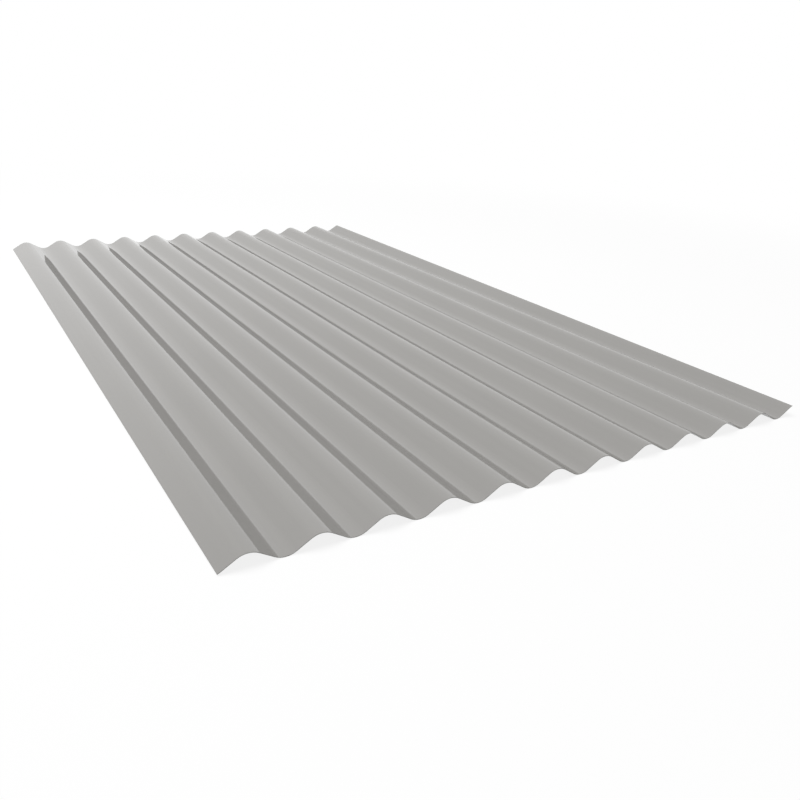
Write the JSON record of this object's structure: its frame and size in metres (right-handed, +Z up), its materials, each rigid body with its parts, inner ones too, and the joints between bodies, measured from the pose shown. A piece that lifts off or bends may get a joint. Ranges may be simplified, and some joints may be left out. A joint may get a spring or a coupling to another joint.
{
  "type": "corrugated polycarbonate sheet",
  "caption": "Thin grey plastic sheet with even rounded corrugations along its length, for roofing and cladding; one long edge ends low and the other high, so that sheets lap.",
  "frame": {"origin": "on the floor, at the middle of the sheet's footprint; the undersides of the troughs touch Z = 0", "axes": "+X across the corrugations, from the low long edge to the high one; +Y along the corrugations; +Z up, away from the floor"},
  "size_m": [0.86, 1.46, 0.0163],
  "materials": {
    "polycarbonate": "opaque light warm grey, glossy extruded top with faint lines along the corrugations, satin underside"
  },
  "bodies": {
    "root": {"corrugated_sheet": "polycarbonate"}
  },
  "joints": []
}
